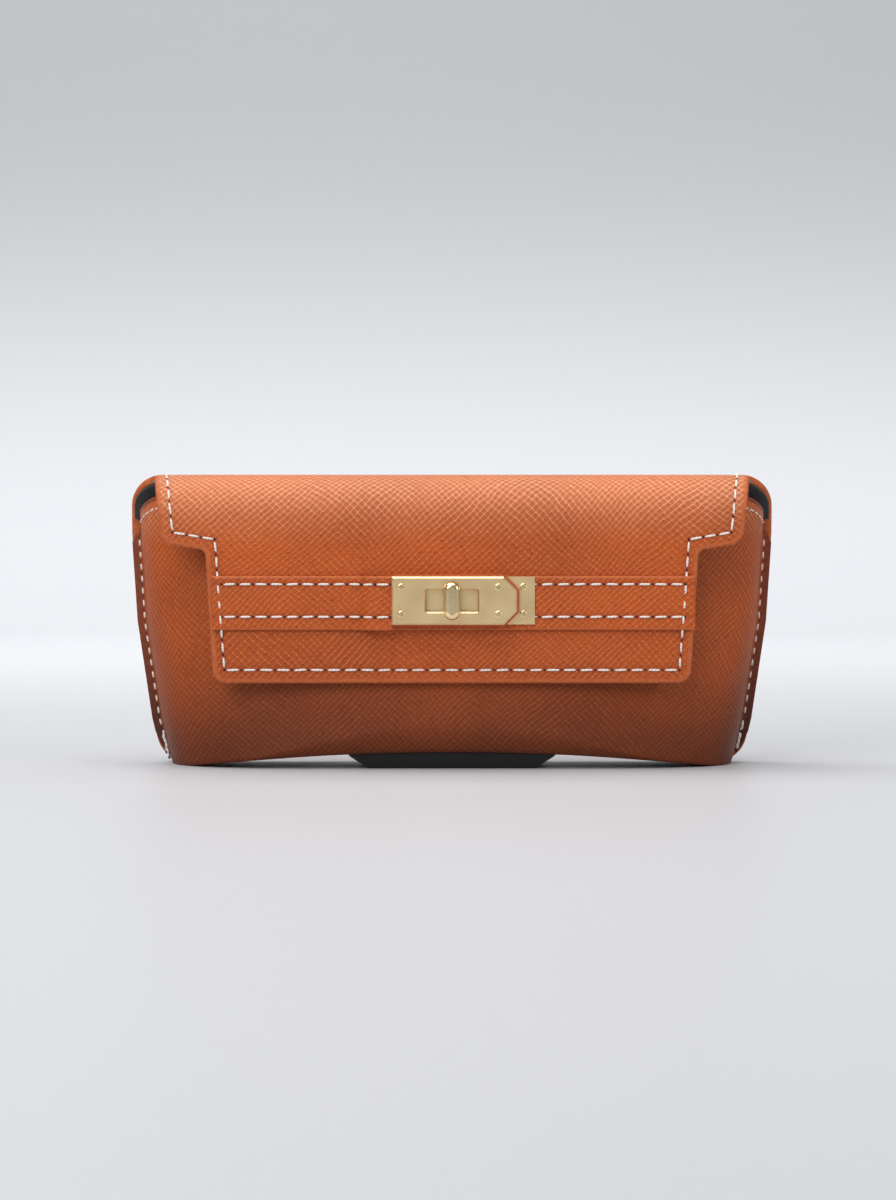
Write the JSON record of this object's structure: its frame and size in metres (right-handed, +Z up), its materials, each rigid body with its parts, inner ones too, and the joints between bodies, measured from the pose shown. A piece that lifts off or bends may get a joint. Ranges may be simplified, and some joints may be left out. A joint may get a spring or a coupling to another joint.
{
  "type": "eyeglasses case",
  "caption": "Upright moulded leather eyeglasses case with an arched, stepped flap, magnetic closing and a strap with a turn-lock clasp across its front.",
  "frame": {"origin": "middle of the box round the closed case, at its foot", "axes": "+Z up with the case standing on its bottom, +X to its right seen from the front, +Y towards its flat back"},
  "size_m": [0.1676, 0.0466, 0.0753],
  "materials": {
    "leather_back": "grained calf, embossed cross-hatch",
    "leather_front": "grained calf, embossed cross-hatch",
    "leather_flap": "grained calf, embossed cross-hatch, painted rim",
    "leather_strap": "grained calf, embossed cross-hatch",
    "lining": "black microfibre suede",
    "board": "pressed fibreboard",
    "gold_metal": "pale gold plating, satin faces, polished bevels",
    "gold_polished": "pale gold plating, polished",
    "steel": "zinc plated",
    "magnet": "nickel plated"
  },
  "bodies": {
    "case": {"back_leather": "leather_back", "back_board": "board", "back_lining": "lining", "front_leather": "leather_front", "front_former": "board", "front_lining": "lining", "front_magnets": "magnet"},
    "flap": {"flap_leather": "leather_flap", "flap_board": "board", "flap_lining": "lining", "flap_magnets": "magnet", "strap_left": "leather_strap", "strap_right": "leather_strap", "base_backing": "steel", "base_plate": "gold_metal", "base_plate_screws": "gold_polished", "base_plate_flush_screws": "steel", "detent_spring": "steel"},
    "hasp": {"hasp_tab": "leather_strap", "hasp_back_plate": "steel", "hasp_plate": "gold_metal", "hasp_screws": "gold_polished"},
    "knob": {"turn_knob": "gold_polished", "knob_washer": "steel", "knob_rivet": "gold_polished"}
  },
  "joints": [
    {"name": "flap_fold", "type": "hinge", "parent": "case", "child": "flap", "pos_m": [0, 0.02357, 0.0628], "axis": [-1, 0, 0], "range_deg": [0, 180]},
    {"name": "knob_turn", "type": "hinge", "parent": "flap", "child": "knob", "pos_m": [0, -0.01972, 0.0435], "axis": [0, -1, 0], "range_deg": [0, 90]},
    {"name": "hasp_play", "type": "hinge", "parent": "flap", "child": "hasp", "pos_m": [-0.0174, -0.01792, 0.0435], "axis": [0, 0, -1], "range_deg": [0, 1]}
  ]
}
